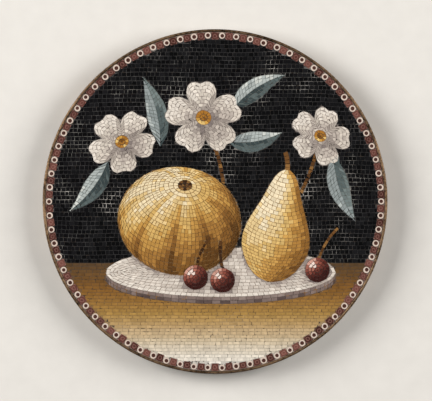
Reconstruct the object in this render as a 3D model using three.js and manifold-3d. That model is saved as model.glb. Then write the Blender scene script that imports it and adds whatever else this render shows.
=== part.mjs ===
// Micromosaic medallion: a round plaque of fine glass tesserae set in mastic in a shallow gilt-copper tray.
// Millimetres, +Z up. The plaque lies on its back, with the origin at the centre of the tray's underside and
// the picture's top towards +Y. The picture is a still life of fruit on a white dish, with blossoms behind it,
// on a black field above an ochre ground, inside a border of round and square tesserae.
import * as THREE from "three";
import { mergeVertices } from "three/addons/utils/BufferGeometryUtils.js";
import Module from "manifold-3d";

const wasm = await Module();
wasm.setup();

// Driving dimensions
const DIAMETER = 60; // outside of the metal rim
const HEIGHT = 5; // underside to the top of the rim
const RIM_WIDTH = 0.5; // metal seen from the front, and the tray's wall
const TRAY_FLOOR = 0.8;
const TRAY_EDGE = 0.5; // rounding between the underside and the wall
const RIM_LIP = 0.22; // rounding along the top of the rim
const FACE_BELOW_RIM = 0.15; // the polished face lies just under the rim
const TESSERA_DEPTH = 1.4;
const JOINT = 0.25; // mastic between two neighbouring fields of tesserae
const SCORE_WIDTH = 0.14; // joint that divides a field, such as a leaf's midrib
const SCORE_DEPTH = 0.25; // how far that joint lies below the face
const HORIZON = -10.7; // where the black field meets the ground

// Heights and radii that follow from them
const RADIUS = DIAMETER / 2;
const TRAY_INSIDE = RADIUS - RIM_WIDTH;
const FACE = HEIGHT - FACE_BELOW_RIM;
const BED_TOP = FACE - TESSERA_DEPTH;
const TURNED_STEPS = 72; // facets round the tray, the bed and the picture

// Border: round canes, with a square block pressed between each two
const BORDER_COUNT = 74;
const BORDER_CLEARANCE = 0.1; // to the tray's wall
const CANE_RADIUS = 0.555;
const CANE_SIDES = 6;
const CANE_CIRCLE = TRAY_INSIDE - BORDER_CLEARANCE - CANE_RADIUS;
const BLOCK_LENGTH = 1.3; // along the radius
const BLOCK_TOUCH = 0.02; // how far a block is pressed into the flat sides of the canes
const PICTURE_RADIUS = CANE_CIRCLE + CANE_RADIUS - BLOCK_LENGTH - JOINT;

const COLOUR = {
  giltCopper: 0x9a7748,
  mastic: 0x8d8271,
  border: 0x7a4a42,
  black: 0x17171a,
  ground: 0x9a7236,
  twig: 0x5b3b20,
  leaf: 0x8d9c9d,
  petal: 0xe6dfd6,
  pollen: 0xc08a3a,
  dish: 0xdcd3c6,
  dishEdge: 0x7c6b66,
  melon: 0xc79c50,
  pear: 0xd9b96c,
  cherry: 0x8a4439,
};

const part = new THREE.Group();
const origin = new THREE.Vector2();
const radians = THREE.MathUtils.degToRad;

function addPiece(name, geometry, color, roughness, metalness = 0) {
  const mesh = new THREE.Mesh(geometry, new THREE.MeshStandardMaterial({ color, roughness, metalness }));
  mesh.name = name;
  part.add(mesh);
}

// A closed geometry as a solid that can be cut and joined, and back again
function solidOf(geometry) {
  const bare = geometry.index ? geometry.toNonIndexed() : geometry.clone();
  bare.deleteAttribute("normal");
  bare.deleteAttribute("uv");
  const merged = mergeVertices(bare, 1e-4);
  const mesh = new wasm.Mesh({
    numProp: 3,
    vertProperties: merged.attributes.position.array,
    triVerts: new Uint32Array(merged.index.array),
  });
  return new wasm.Manifold(mesh);
}

function geometryOf(solid) {
  const mesh = solid.getMesh();
  const geometry = new THREE.BufferGeometry();
  geometry.setAttribute("position", new THREE.BufferAttribute(mesh.vertProperties, 3));
  geometry.setIndex(new THREE.BufferAttribute(mesh.triVerts, 1));
  geometry.computeVertexNormals();
  return geometry;
}

// A flat piece with this outline, between two heights
function slab(outline, low, high) {
  const shape = new THREE.Shape(outline);
  const geometry = new THREE.ExtrudeGeometry(shape, { depth: high - low, bevelEnabled: false });
  return solidOf(geometry.translate(0, 0, low));
}

// Outlines, all counter-clockwise
function ellipse(centre, halfWidth, halfHeight, steps, turn = 0) {
  return Array.from({ length: steps }, (_, i) => {
    const angle = (2 * Math.PI * i) / steps;
    const point = new THREE.Vector2(halfWidth * Math.cos(angle), halfHeight * Math.sin(angle));
    return point.rotateAround(origin, turn).add(centre);
  });
}

// A strip of varying half-width along a curve: up its right side and back down its left
function strip(curve, halfWidth, stations) {
  const right = [];
  const left = [];
  for (const t of stations) {
    const along = curve.getTangent(t);
    const reach = new THREE.Vector2(along.y, -along.x).multiplyScalar(halfWidth(t));
    right.push(curve.getPoint(t).add(reach));
    left.push(curve.getPoint(t).sub(reach));
  }
  const outline = [...right, ...left.reverse()];
  return outline.filter((point, i) => point.distanceTo(outline.at(i - 1)) > 0.001);
}

const evenly = (steps) => Array.from({ length: steps + 1 }, (_, i) => i / steps);
const closerAtEnds = (steps) => evenly(steps).map((t) => (1 - Math.cos(Math.PI * t)) / 2);

// The curve from one point to another that bows to its left by a share of its length
function bowed([startX, startY], [endX, endY], bow) {
  const start = new THREE.Vector2(startX, startY);
  const end = new THREE.Vector2(endX, endY);
  const middle = new THREE.Vector2((startX + endX) / 2, (startY + endY) / 2);
  middle.add(new THREE.Vector2(startY - endY, endX - startX).multiplyScalar(bow));
  return new THREE.QuadraticBezierCurve(start, middle, end);
}

// The outline moved outwards by a distance, each point along the bisector of its two sides
function grown(outline, distance) {
  return outline.map((point, i) => {
    const before = point.clone().sub(outline.at(i - 1)).normalize();
    const after = outline[(i + 1) % outline.length].clone().sub(point).normalize();
    const along = before.add(after).normalize();
    return new THREE.Vector2(point.x + along.y * distance, point.y - along.x * distance);
  });
}

// Tray: one turned piece of gilt copper, with a flat floor and an upright wall that ends in a rounded rim
function quarterRound(centreX, centreZ, radius, fromDegrees) {
  return [0, 45, 90].map((step) => {
    const angle = radians(fromDegrees + step);
    return new THREE.Vector2(centreX + radius * Math.cos(angle), centreZ + radius * Math.sin(angle));
  });
}

const trayProfile = [
  new THREE.Vector2(0, 0),
  ...quarterRound(RADIUS - TRAY_EDGE, TRAY_EDGE, TRAY_EDGE, -90),
  ...quarterRound(RADIUS - RIM_LIP, HEIGHT - RIM_LIP, RIM_LIP, 0),
  ...quarterRound(TRAY_INSIDE + RIM_LIP, HEIGHT - RIM_LIP, RIM_LIP, 90),
  new THREE.Vector2(TRAY_INSIDE, TRAY_FLOOR),
  new THREE.Vector2(0, TRAY_FLOOR),
];
const tray = new THREE.LatheGeometry(trayProfile, TURNED_STEPS).rotateX(Math.PI / 2);
addPiece("gilt_copper_tray", tray, COLOUR.giltCopper, 0.4, 1);

// Mastic bed: the oil cement that fills the tray and holds the tesserae
const bedRadius = TRAY_INSIDE - BORDER_CLEARANCE;
const bed = slab(ellipse(origin, bedRadius, bedRadius, TURNED_STEPS), TRAY_FLOOR, BED_TOP);
addPiece("mastic_bed", geometryOf(bed), COLOUR.mastic, 0.9);

// Border: each block touches the cane on either side, so together they are one closed ring
function borderRing() {
  const pitch = (2 * Math.PI) / BORDER_COUNT;
  const caneFlat = CANE_RADIUS * Math.cos(Math.PI / CANE_SIDES);
  const blockWidth = 2 * (CANE_CIRCLE * Math.sin(pitch / 2) - caneFlat + BLOCK_TOUCH);
  const blockCentre = CANE_CIRCLE + CANE_RADIUS - BLOCK_LENGTH / 2;
  const pieces = [];
  for (let i = 0; i < BORDER_COUNT; i++) {
    const angle = i * pitch;
    const caneCentre = new THREE.Vector2(CANE_CIRCLE, 0).rotateAround(origin, angle);
    pieces.push(slab(ellipse(caneCentre, CANE_RADIUS, CANE_RADIUS, CANE_SIDES, angle), BED_TOP, FACE));
    const block = new THREE.BoxGeometry(BLOCK_LENGTH, blockWidth, TESSERA_DEPTH);
    block.translate(blockCentre, 0, BED_TOP + TESSERA_DEPTH / 2).rotateZ(angle + pitch / 2);
    pieces.push(solidOf(block));
  }
  return wasm.Manifold.union(pieces);
}
addPiece("border_tesserae", geometryOf(borderRing()), COLOUR.border, 0.35);

// Fields of the picture, from the back to the front. A score is a joint that divides a field.
const fields = [];

function addField(name, color, outline, scores = []) {
  fields.push({ name, color, outline, scores });
}

function scoreAlong(points) {
  return strip(new THREE.SplineCurve(points), () => SCORE_WIDTH / 2, evenly(points.length - 1));
}

// Black field and ground: the two parts of the disc above and below the horizon
function discPart(from, to) {
  const steps = Math.round(((to - from) / (2 * Math.PI)) * TURNED_STEPS);
  return evenly(steps).map((t) => {
    return new THREE.Vector2(PICTURE_RADIUS, 0).rotateAround(origin, from + (to - from) * t);
  });
}
const blackEdge = Math.asin((HORIZON + JOINT / 2) / PICTURE_RADIUS);
const groundEdge = Math.asin((HORIZON - JOINT / 2) / PICTURE_RADIUS);
addField("black_field_tesserae", COLOUR.black, discPart(blackEdge, Math.PI - blackEdge));
addField("ground_tesserae", COLOUR.ground, discPart(Math.PI - groundEdge, 2 * Math.PI + groundEdge));
const backFields = fields.length;

// Twigs that carry two of the blossoms up from behind the fruit
const TWIG_HALF_WIDTH = 0.32;
const TWIGS = {
  twig_top_tesserae: bowed([1.5, 2], [-1.5, 13], -0.1),
  twig_right_tesserae: bowed([12, -3], [18, 10.5], -0.12),
};
for (const [name, curve] of Object.entries(TWIGS)) {
  addField(name, COLOUR.twig, strip(curve, () => TWIG_HALF_WIDTH, evenly(5)));
}

// Leaves: lance-shaped and bowed, scored along the midrib
const LEAF_HALF_WIDTH = 1.8;
const LEAVES = [
  bowed([-18.6, 7], [-25.2, -1.6], 0.14),
  bowed([-9.5, 9.5], [-12.6, 21.6], -0.14),
  bowed([3, 16], [12.2, 22], 0.16),
  bowed([2.4, 10.4], [11.6, 12], -0.16),
  bowed([20.6, 8], [24.4, -3.4], -0.14),
];
const leafHalfWidth = (t) => LEAF_HALF_WIDTH * Math.sin(Math.PI * t ** 0.8);
LEAVES.forEach((curve, i) => {
  const midrib = evenly(4).map((t) => curve.getPoint(0.1 + 0.8 * t));
  const outline = strip(curve, leafHalfWidth, closerAtEnds(9));
  addField(`leaf_${i + 1}_tesserae`, COLOUR.leaf, outline, [scoreAlong(midrib)]);
});

// Blossoms: five notched petals round a pollen centre, turned a little away from the viewer
const PETALS = 5;
const PETAL_STEPS = 6;
const POLLEN_SHARE = 0.2; // of the blossom's radius
const BLOSSOMS = {
  blossom_left: { centre: [-16.2, 10.4], radius: 6.1, squash: 0.9, turn: radians(24) },
  blossom_top: { centre: [-2, 14.6], radius: 6.9, squash: 0.94, turn: radians(-14) },
  blossom_right: { centre: [18.3, 11.4], radius: 5.6, squash: 0.9, turn: radians(-38) },
};

// How far a petal reaches, from -1 at its right edge to 1 at its left
const petalReach = (across) => 1 - 0.42 * Math.abs(across) ** 3.2 - 0.09 * Math.exp(-((across / 0.2) ** 2));

function blossomPoint({ centre, radius, squash, turn }, angle, reach) {
  const along = radius * reach;
  const point = new THREE.Vector2(along * Math.cos(angle), along * Math.sin(angle) * squash);
  return point.rotateAround(origin, turn).add(new THREE.Vector2(...centre));
}

for (const [name, blossom] of Object.entries(BLOSSOMS)) {
  const petalAngle = (2 * Math.PI) / PETALS;
  const outline = [];
  const scores = [];
  for (let petal = 0; petal < PETALS; petal++) {
    for (let step = 0; step < PETAL_STEPS; step++) {
      const angle = (petal + step / PETAL_STEPS) * petalAngle;
      outline.push(blossomPoint(blossom, angle, petalReach((2 * step) / PETAL_STEPS - 1)));
    }
    scores.push(scoreAlong([0.28, 0.5].map((reach) => blossomPoint(blossom, petal * petalAngle, reach))));
  }
  addField(`${name}_petals`, COLOUR.petal, outline, scores);
  const centre = new THREE.Vector2(...blossom.centre);
  const pollen = blossom.radius * POLLEN_SHARE;
  addField(`${name}_pollen`, COLOUR.pollen, ellipse(centre, pollen, pollen * blossom.squash, 12, blossom.turn));
}

// Dish: a white oval with a shaded edge below it
const DISH = { centre: new THREE.Vector2(1, -12.3), halfWidth: 20, halfHeight: 4.3, edge: 1.2 };
const dishEdgeCentre = DISH.centre.clone().sub(new THREE.Vector2(0, DISH.edge));
addField("dish_edge_tesserae", COLOUR.dishEdge, ellipse(dishEdgeCentre, DISH.halfWidth, DISH.halfHeight, 48));
addField("dish_tesserae", COLOUR.dish, ellipse(DISH.centre, DISH.halfWidth, DISH.halfHeight, 48));

// Melon: a ribbed fruit with its stalk end turned towards the viewer, scored down its furrows
const MELON = { centre: new THREE.Vector2(-6.2, -3.4), halfWidth: 10.8, halfHeight: 9.4, ribs: 10 };
const MELON_TILT = radians(48); // of the stalk end, from upright
const MELON_ROLL = radians(-9);

// A point on the melon at an angle from its stalk and an angle round it, and whether it can be seen
function melonPoint(fromStalk, round) {
  const stalk = new THREE.Vector3(0, Math.cos(MELON_TILT), Math.sin(MELON_TILT));
  const right = new THREE.Vector3(1, 0, 0);
  const back = stalk.clone().cross(right);
  const out = right.multiplyScalar(Math.cos(round)).addScaledVector(back, Math.sin(round));
  const point = stalk.multiplyScalar(Math.cos(fromStalk)).addScaledVector(out, Math.sin(fromStalk));
  const flat = new THREE.Vector2(MELON.halfWidth * point.x, MELON.halfHeight * point.y);
  return { flat: flat.rotateAround(origin, MELON_ROLL).add(MELON.centre), seen: point.z > 0.2 };
}

function melonFurrow(rib) {
  const round = (2 * Math.PI * (rib + 0.5)) / MELON.ribs;
  const points = evenly(5).map((t) => melonPoint(radians(18 + 108 * t), round));
  return points.filter(({ seen }) => seen).map(({ flat }) => flat);
}
const furrows = evenly(MELON.ribs - 1).map((t) => melonFurrow(t * (MELON.ribs - 1)));
const melonScores = furrows.filter((line) => line.length > 2).map(scoreAlong);
const melonOutline = ellipse(MELON.centre, MELON.halfWidth, MELON.halfHeight, 48, MELON_ROLL);
addField("melon_tesserae", COLOUR.melon, melonOutline, melonScores);
addField("melon_stalk_tesserae", COLOUR.twig, ellipse(melonPoint(0, 0).flat, 1.25, 0.95, 12, MELON_ROLL));

// Pear: full below and narrow at the neck, leaning to the right
const PEAR_HALF_WIDTH = 6.4;
const pearAxis = bowed([9.4, -14], [12.6, 5.6], 0);
function pearHalfWidth(t) {
  const neck = THREE.MathUtils.smoothstep(t, 0.25, 0.85);
  return PEAR_HALF_WIDTH * Math.sqrt(4 * t * (1 - t)) * (1 - 0.44 * neck);
}
const pearStalk = bowed([12.5, 5.2], [12.2, 8.6], -0.14);
addField("pear_stalk_tesserae", COLOUR.twig, strip(pearStalk, (t) => 0.34 + 0.16 * t, evenly(4)));
addField("pear_tesserae", COLOUR.pear, strip(pearAxis, pearHalfWidth, closerAtEnds(18)));

// Cherries: a pair in front of the melon, and one at the right end of the dish
const CHERRY_RADIUS = 2.15;
const CHERRY_STALK_HALF_WIDTH = 0.26;
const CHERRIES = [
  { centre: [-3.4, -13.2], stalk: bowed([-3.2, -11.6], [-0.8, -6.2], 0.16) },
  { centre: [1.3, -13.7], stalk: bowed([1.4, -12.1], [1, -6.8], 0.1) },
  { centre: [17.8, -11.9], stalk: bowed([18, -10.2], [21.4, -4.6], 0.14) },
];
CHERRIES.forEach(({ centre, stalk }, i) => {
  const middle = new THREE.Vector2(...centre);
  addField(`cherry_${i + 1}_stalk`, COLOUR.twig, strip(stalk, () => CHERRY_STALK_HALF_WIDTH, evenly(4)));
  addField(`cherry_${i + 1}_tesserae`, COLOUR.cherry, ellipse(middle, CHERRY_RADIUS, CHERRY_RADIUS, 20));
});

// Each field gives way by a joint to every field in front of it. A field cut through makes several pieces.
const SCRAP_VOLUME = 1.5; // a scrap smaller than this, about one tessera, is left as mastic
fields.forEach(({ name, color, outline, scores }, i) => {
  const inFront = fields.slice(Math.max(i + 1, backFields));
  const cuts = inFront.map((field) => slab(grown(field.outline, JOINT), BED_TOP - 1, FACE + 1));
  cuts.push(...scores.map((score) => slab(score, FACE - SCORE_DEPTH, FACE + 1)));
  const whole = slab(outline, BED_TOP, FACE);
  const bodies = cuts.length ? whole.subtract(wasm.Manifold.union(cuts)).decompose() : [whole];
  const kept = bodies.filter((body) => body.volume() > SCRAP_VOLUME);
  kept.sort((a, b) => b.volume() - a.volume());
  kept.forEach((body, k) => addPiece(k ? `${name}_${k + 1}` : name, geometryOf(body), color, 0.3));
});

export default part;
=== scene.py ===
# Micromosaic medallion: a round plaque of glass tesserae in a gilt-copper tray, dressed over its solids.
# The file follows the making: the tray, the mastic, the border, the figures from the front one back, the
# fields behind them, the wax in the joints, and last the table, the lights and the camera.
import math
import random

import bmesh
import bpy
import numpy as np
from mathutils import Matrix, Vector, noise


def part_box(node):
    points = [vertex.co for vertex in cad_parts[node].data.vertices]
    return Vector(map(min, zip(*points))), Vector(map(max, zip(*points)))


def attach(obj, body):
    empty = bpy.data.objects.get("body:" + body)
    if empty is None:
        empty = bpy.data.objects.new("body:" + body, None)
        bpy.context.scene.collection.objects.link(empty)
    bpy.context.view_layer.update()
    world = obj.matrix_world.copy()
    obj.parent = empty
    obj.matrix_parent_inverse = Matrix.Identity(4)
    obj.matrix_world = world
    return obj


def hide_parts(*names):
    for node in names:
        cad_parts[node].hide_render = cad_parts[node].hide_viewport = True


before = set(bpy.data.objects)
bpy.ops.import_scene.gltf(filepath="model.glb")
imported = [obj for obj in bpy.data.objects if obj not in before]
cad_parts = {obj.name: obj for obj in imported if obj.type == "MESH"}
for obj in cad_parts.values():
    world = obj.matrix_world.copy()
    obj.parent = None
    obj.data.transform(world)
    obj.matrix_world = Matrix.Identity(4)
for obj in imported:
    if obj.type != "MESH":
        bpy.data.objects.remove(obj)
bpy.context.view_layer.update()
MM = 0.001


# Tray
# A shallow dish of sheet copper with a flat back and an upright wall, fire-gilt and long since worn. Its thin
# rim stands just proud of the polished face. The mastic is poured into it.
TRAY_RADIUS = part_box("gilt_copper_tray")[1].x / MM
TRAY_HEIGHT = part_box("gilt_copper_tray")[1].z / MM
RIM_WIDTH = 0.5
TRAY_FLOOR = 0.8
BACK_ROUNDING = 0.5
RIM_ROUNDING = 0.22
RIM_WAVER = 0.03  # how far the hand-worked rim strays from a true circle
RIM_WAVES = 6  # scale of the noise that it strays by, round the rim
ROUNDING_STEPS = 5
TRAY_STEPS = 240
SAME_PLACE = 0.0001  # corners closer than this are merged
SHARP_ANGLE = math.radians(40)
GILDING_PATCH = 5.0  # across a dull patch
RUBBING_MARK = 0.5


def linear(hex_colour):
    """The linear RGBA of an sRGB hex colour."""
    channels = [int(hex_colour[i : i + 2], 16) / 255 for i in (1, 3, 5)]
    return [c / 12.92 if c <= 0.04045 else ((c + 0.055) / 1.055) ** 2.4 for c in channels] + [1.0]


def add_node(tree, kind, inputs, **settings):
    """Add a shader node with its settings. An input given as a socket is linked, any other is set."""
    added = tree.nodes.new(kind)
    for name, value in settings.items():
        setattr(added, name, value)
    for name, value in inputs.items():
        if isinstance(value, bpy.types.NodeSocket):
            tree.links.new(value, added.inputs[name])
        else:
            added.inputs[name].default_value = value
    return added


def new_finish(name):
    """A new material, with its node tree, its surface shader and the place on a piece for its patterns."""
    finish = bpy.data.materials.new(name)
    finish.use_nodes = True
    tree = finish.node_tree
    spot = add_node(tree, "ShaderNodeTexCoord", {}).outputs["Object"]
    return finish, tree, tree.nodes["Principled BSDF"], spot


def finish_piece(bm, name, finishes, slot, *nodes):
    """Make a bmesh that is drawn in millimetres into a piece that stands for these CAD nodes."""
    bmesh.ops.scale(bm, vec=(MM, MM, MM), verts=bm.verts)
    mesh = bpy.data.meshes.new(name)
    bm.to_mesh(mesh)
    bm.free()
    for finish in finishes:
        mesh.materials.append(finish)
    piece = bpy.data.objects.new(name, mesh)
    bpy.context.scene.collection.objects.link(piece)
    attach(piece, "root")
    if nodes:
        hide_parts(*nodes)
    return piece


# Fire-gilding worn down to brown copper: a warm metal, dull in patches, with fine rubbing marks
gilt_copper, tree, surface, spot = new_finish("worn_gilt_copper")
patches = add_node(
    tree, "ShaderNodeTexNoise", {"Vector": spot, "Scale": 1 / (GILDING_PATCH * MM), "Detail": 4.0}
).outputs["Fac"]
specks = add_node(
    tree, "ShaderNodeTexNoise", {"Vector": spot, "Scale": 1 / (RUBBING_MARK * MM), "Detail": 3.0}
).outputs["Fac"]
wear = add_node(tree, "ShaderNodeMath", {0: patches, 1: specks}, operation="ADD").outputs["Value"]
worn = add_node(tree, "ShaderNodeMapRange", {"Value": wear, "From Min": 0.75, "From Max": 1.2})
gilding = add_node(
    tree,
    "ShaderNodeMix",
    {"Factor": worn.outputs["Result"], "A": linear("#33271C"), "B": linear("#8E745A")},
    data_type="RGBA",
)
dullness = add_node(tree, "ShaderNodeMapRange", {"Value": specks, "To Min": 0.4, "To Max": 0.62})
rubbing = add_node(tree, "ShaderNodeBump", {"Height": specks, "Strength": 0.25, "Distance": 0.03 * MM})
tree.links.new(gilding.outputs["Result"], surface.inputs["Base Color"])
tree.links.new(dullness.outputs["Result"], surface.inputs["Roughness"])
tree.links.new(rubbing.outputs["Normal"], surface.inputs["Normal"])
surface.inputs["Metallic"].default_value = 1.0


def rim_waver(outwards):
    """How far the rim strays from its circle in a direction, never outside it."""
    return RIM_WAVER * (noise.noise(outwards * RIM_WAVES) - 1) / 2


bm = bmesh.new()
section = [
    (0, 0),
    (TRAY_RADIUS, 0),
    (TRAY_RADIUS, TRAY_HEIGHT),
    (TRAY_RADIUS - RIM_WIDTH, TRAY_HEIGHT),
    (TRAY_RADIUS - RIM_WIDTH, TRAY_FLOOR),
    (0, TRAY_FLOOR),
]
turned = [bm.verts.new((radius, 0, height)) for radius, height in section]
for below, above in zip(turned, turned[1:]):
    bm.edges.new((below, above))
for corner, rounding in ((turned[1], BACK_ROUNDING), (turned[2], RIM_ROUNDING), (turned[3], RIM_ROUNDING)):
    bmesh.ops.bevel(
        bm,
        geom=[corner],
        offset=rounding,
        segments=ROUNDING_STEPS,
        profile=0.5,
        affect="VERTICES",
        material=-1,
    )
bmesh.ops.spin(
    bm,
    geom=bm.verts[:] + bm.edges[:],
    cent=(0, 0, 0),
    axis=(0, 0, 1),
    angle=2 * math.pi,
    steps=TRAY_STEPS,
    use_merge=True,
)
bmesh.ops.remove_doubles(bm, verts=bm.verts, dist=SAME_PLACE)
bmesh.ops.recalc_face_normals(bm, faces=bm.faces)
for vert in bm.verts:
    if vert.co.z > TRAY_HEIGHT / 2:
        outwards = Vector((vert.co.x, vert.co.y, 0)).normalized()
        vert.co += outwards * rim_waver(outwards)
for face in bm.faces:
    face.smooth = True
tray = finish_piece(bm, "gilt_copper_tray_turned", [gilt_copper], "gilt_copper", "gilt_copper_tray")
tray.data.set_sharp_from_angle(angle=SHARP_ANGLE)


# Mastic bed
# An oil cement of stone dust and linseed oil, spread in the tray and left to stiffen while the tesserae are
# pressed into it one by one. It is the solid itself, with the cement's dull, gritty finish.
MASTIC_GRIT = 0.4  # across a grain

oil_mastic, tree, surface, spot = new_finish("oil_mastic")
grit = add_node(tree, "ShaderNodeTexNoise", {"Vector": spot, "Scale": 1 / (MASTIC_GRIT * MM), "Detail": 4.0})
cement = add_node(
    tree,
    "ShaderNodeMix",
    {"Factor": grit.outputs["Fac"], "A": linear("#8A7C68"), "B": linear("#D8CDBB")},
    data_type="RGBA",
)
roughened = add_node(
    tree, "ShaderNodeBump", {"Height": grit.outputs["Fac"], "Strength": 0.5, "Distance": 0.05 * MM}
)
tree.links.new(cement.outputs["Result"], surface.inputs["Base Color"])
tree.links.new(roughened.outputs["Normal"], surface.inputs["Normal"])
surface.inputs["Roughness"].default_value = 0.9
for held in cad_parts["mastic_bed"].material_slots:
    held.material = oil_mastic


# Border
# Round canes drawn from white glass with a red-brown core, cut across and set on end, and between each two a
# red-brown tessera. They stand round the picture, against the tray's wall.
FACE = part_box("border_tesserae")[1].z / MM
BED_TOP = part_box("mastic_bed")[1].z / MM
BORDER_COUNT = 74
CANE_RADIUS = 0.57
CANE_CORE = 0.35
CANE_SIDES = 18
CANE_GAP = 0.02  # between a cane and the tray's wall
CANE_CIRCLE = TRAY_RADIUS - RIM_WIDTH - CANE_RADIUS - CANE_GAP
CANE_SIZES = (0.93, 1.02)  # the smallest and the largest, beside the usual one
CANE_SHIFT = 0.06  # how far in from its circle a cane may stand
CANE_TURN = 0.001  # how far along the circle it strays, in radians
CANE_CLOUD = 1.2  # across a cloud in its glass
CORE_SHIFT = 0.05  # how far a core lies off its cane's middle
FOLD_RATE = 9.0  # radians of the drawn folds from a cut end's middle to its side
FOLD_DRIFT = 7.0  # how far the folds wander, in radians
FOLD_BEND = 0.4  # across a bend in them
BLOCK_LENGTH = 1.3  # along the radius
BLOCK_UNEVEN = (-0.08, 0.12)  # how far a block's inner end lies out of line
JOINT = 0.08  # between two tesserae
CHAMFER = 0.03  # softened edge round a tessera's polished top
LEAST_FACE = 0.03  # square millimetres of polished face below which a scrap is left out
STRAY = 0.03  # how far a hand-set corner lies from its place
CUT_STRAY = 0.12  # how far a hand-made cut does, as a share of a tessera
TILT = 0.02  # how far a polished top leans, as a slope
SHADE_SPREAD = 0.09  # how far glass of one colour differs in brightness
PIN_HOLE = 0.12  # across a pin-hole in the polish
SIDE_LEAN = 0.3  # a face whose normal rises or falls less than this is a side
FOOT_LAYOUT = (0.004, 0.01)  # where the feet lie on the sheet for baking, and how large
FACE_LAYOUT = (0.02, 0.96)  # and all that is seen
BORDER_BROWNS = ["#442822", "#51312B", "#5E3A33", "#6C453D"]

chance = random.Random(74)


def lay_course(bm, place, cuts, low, high, glass):
    """Lay one course of tesserae between two lines of a figure, cut at the given stations along it.

    place turns a station and a line into millimetres, and glass turns them into a colour."""
    shade = bm.faces.layers.float_color.get("glass") or bm.faces.layers.float_color.new("glass")
    count = len(cuts) - 1
    course = bmesh.ops.create_grid(bm, x_segments=count, y_segments=1, size=1)["verts"]
    faces = dict.fromkeys(face for vert in course for face in vert.link_faces)  # in the same order each run
    for face in faces:
        left = round((min(vert.co.x for vert in face.verts) + 1) / 2 * count)
        face[shade] = glass((cuts[left] + cuts[left + 1]) / 2, (low + high) / 2)
    for vert in course:
        station = cuts[round((vert.co.x + 1) / 2 * count)]
        vert.co.xy = place(station, low if vert.co.y < 0 else high)


def hand_cuts(start, end, count):
    """Stations for a course of so many tesserae, cut a little unevenly by hand."""
    step = (end - start) / count
    inner = [start + (i + chance.uniform(-CUT_STRAY, CUT_STRAY)) * step for i in range(1, count)]
    return [start, *inner, end]


def part_tesserae(bm):
    """Cut the courses into single tesserae, face up, with corners that stray a little."""
    bmesh.ops.split_edges(bm, edges=bm.edges)
    bm.normal_update()
    bmesh.ops.reverse_faces(bm, faces=[face for face in bm.faces if face.normal.z < 0])
    for vert in bm.verts:
        vert.co.x += chance.uniform(-STRAY, STRAY)
        vert.co.y += chance.uniform(-STRAY, STRAY)


def raise_blocks(bm, feet, top):
    """Raise flat feet into blocks of glass with a softened edge, and return their polished tops."""
    raised = bmesh.ops.extrude_face_region(bm, geom=feet, use_keep_orig=True)["geom"]
    bmesh.ops.reverse_faces(bm, faces=feet)
    corners = [element for element in raised if isinstance(element, bmesh.types.BMVert)]
    tops = [element for element in raised if isinstance(element, bmesh.types.BMFace)]
    bmesh.ops.translate(bm, verts=corners, vec=(0, 0, top - CHAMFER - BED_TOP))
    bmesh.ops.inset_individual(bm, faces=tops, thickness=CHAMFER, depth=CHAMFER)
    return tops


def set_tesserae(bm, top, joint):
    """Open the joints, and give every tessera its glass, its depth and a slight tilt."""
    bm.normal_update()
    joints = bmesh.ops.inset_individual(bm, faces=bm.faces[:], thickness=joint / math.sqrt(2))
    bmesh.ops.delete(bm, geom=joints["faces"], context="FACES")
    bm.normal_update()
    scraps = [face for face in bm.faces if face.calc_area() < LEAST_FACE or face.normal.z < 0]
    bmesh.ops.delete(bm, geom=scraps, context="FACES")
    shade = bm.faces.layers.float_color["glass"]
    tint = bm.verts.layers.float_color.new("tint")
    for face in bm.faces:
        for vert in face.verts:
            vert[tint] = face[shade]
            vert.co.z = BED_TOP
    for face in raise_blocks(bm, bm.faces[:], top):
        centre = face.calc_center_median()
        lean = Vector((chance.uniform(-TILT, TILT), chance.uniform(-TILT, TILT), 0))
        for vert in face.verts:
            vert.co.z += (vert.co - centre).dot(lean)


def spread_for_baking(bm):
    """Lay the piece out flat as seen from above, with its sides in the joints and its feet in a corner."""
    layout = bm.loops.layers.uv.new("OFBake")
    bm.normal_update()
    spots = np.array([vert.co.xy for vert in bm.verts])
    low, size = spots.min(0), np.ptp(spots, axis=0).max()
    for face in bm.faces:
        start, extent = FOOT_LAYOUT if face.normal.z < -SIDE_LEAN else FACE_LAYOUT
        for loop in face.loops:
            spot = np.array(loop.vert.co.xy)
            if abs(face.normal.z) <= SIDE_LEAN and loop.vert.co.z < (BED_TOP + FACE) / 2:
                spot += np.array(face.normal.xy) * JOINT / 4
            loop[layout].uv = start + extent * ((spot - low) / size)


def toned(colour, brightness):
    """A linear colour made brighter or darker."""
    return [channel * brightness for channel in colour[:3]] + [1.0]


def varied(hex_colour):
    """A glass colour that differs a little from one tessera to the next."""
    return toned(linear(hex_colour), 1 + chance.uniform(-SHADE_SPREAD, SHADE_SPREAD))


def add_glass_surface(tree, surface, spot):
    """The polish of opaque glass: a soft gloss, dulled in places, with pin-holes and fine grinding marks."""
    fine_spots = add_node(
        tree, "ShaderNodeTexNoise", {"Vector": spot, "Scale": 1 / (PIN_HOLE * MM), "Detail": 2.0}
    ).outputs["Fac"]
    gloss = add_node(tree, "ShaderNodeMapRange", {"Value": fine_spots, "To Min": 0.12, "To Max": 0.26})
    grind = add_node(tree, "ShaderNodeBump", {"Height": fine_spots, "Strength": 0.12, "Distance": 0.02 * MM})
    tree.links.new(gloss.outputs["Result"], surface.inputs["Roughness"])
    tree.links.new(grind.outputs["Normal"], surface.inputs["Normal"])
    surface.inputs["IOR"].default_value = 1.52


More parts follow.
